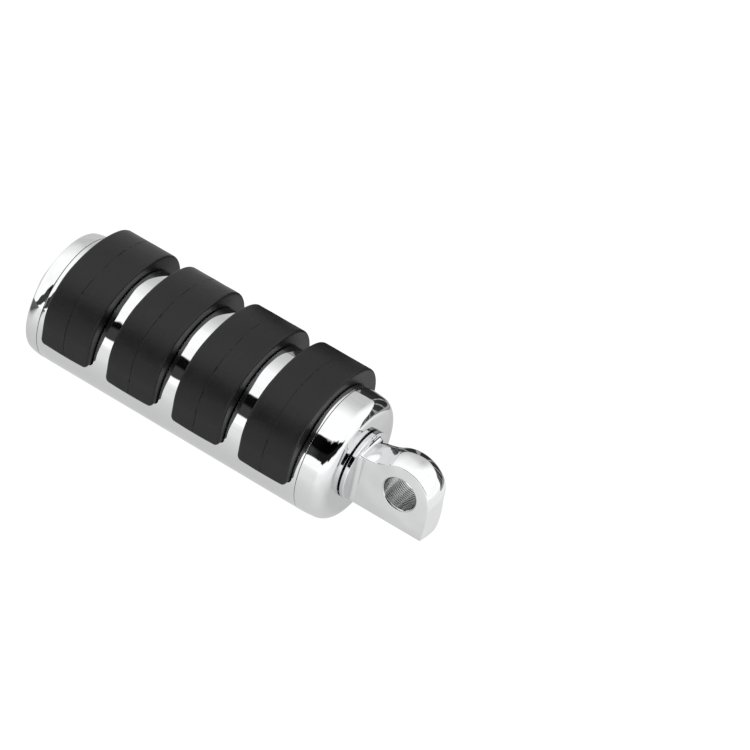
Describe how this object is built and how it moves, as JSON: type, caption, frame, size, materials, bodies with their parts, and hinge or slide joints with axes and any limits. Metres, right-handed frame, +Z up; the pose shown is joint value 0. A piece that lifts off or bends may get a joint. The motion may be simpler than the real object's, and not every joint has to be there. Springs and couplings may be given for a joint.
{
  "type": "foot peg",
  "caption": "Motorcycle foot peg: chrome barrel with C-shaped rubber pads, rounded inner cap, coned outer cap with a socket screw, and a male pivot tongue.",
  "frame": {"origin": "centre of the pivot bore, midway through the tongue", "axes": "+X outboard along the barrel, +Y along the pivot bore, +Z up, towards the middle of the pads"},
  "size_m": [0.1237, 0.0404, 0.0391],
  "materials": {
    "chrome": "mirror chrome plate, bright and smooth, with fine wipe marks",
    "pad_rubber": "matte moulded rubber, faint mould line round the tread, lightly scuffed",
    "seal_rubber": "smooth matte black seal",
    "black_washer": "dense black thrust washer, satin",
    "bronze": "sintered bronze, dull",
    "pin_steel": "ground dowel pins",
    "zinc_steel": "bright zinc",
    "screw_steel": "bright plated screw, turned face"
  },
  "bodies": {
    "mount": {"mount_adapter": "chrome", "thrust_washer": "black_washer", "stem_seal_ring": "seal_rubber", "flat_washer": "zinc_steel", "spring_washer": "zinc_steel", "socket_screw": "screw_steel"},
    "barrel": {"stem_bush": "bronze", "inner_cap": "chrome", "inner_seam_ring": "seal_rubber", "inner_cap_pins": "pin_steel", "barrel_shell": "chrome", "pad_1": "pad_rubber", "pad_2": "pad_rubber", "pad_3": "pad_rubber", "pad_4": "pad_rubber", "outer_seam_ring": "seal_rubber", "outer_cap_pins": "pin_steel", "outer_cap": "chrome"}
  },
  "joints": [
    {"name": "barrel_turn", "type": "hinge", "parent": "mount", "child": "barrel", "pos_m": [0.022, 0, -0.002], "axis": [1, 0, 0], "continuous": true}
  ]
}
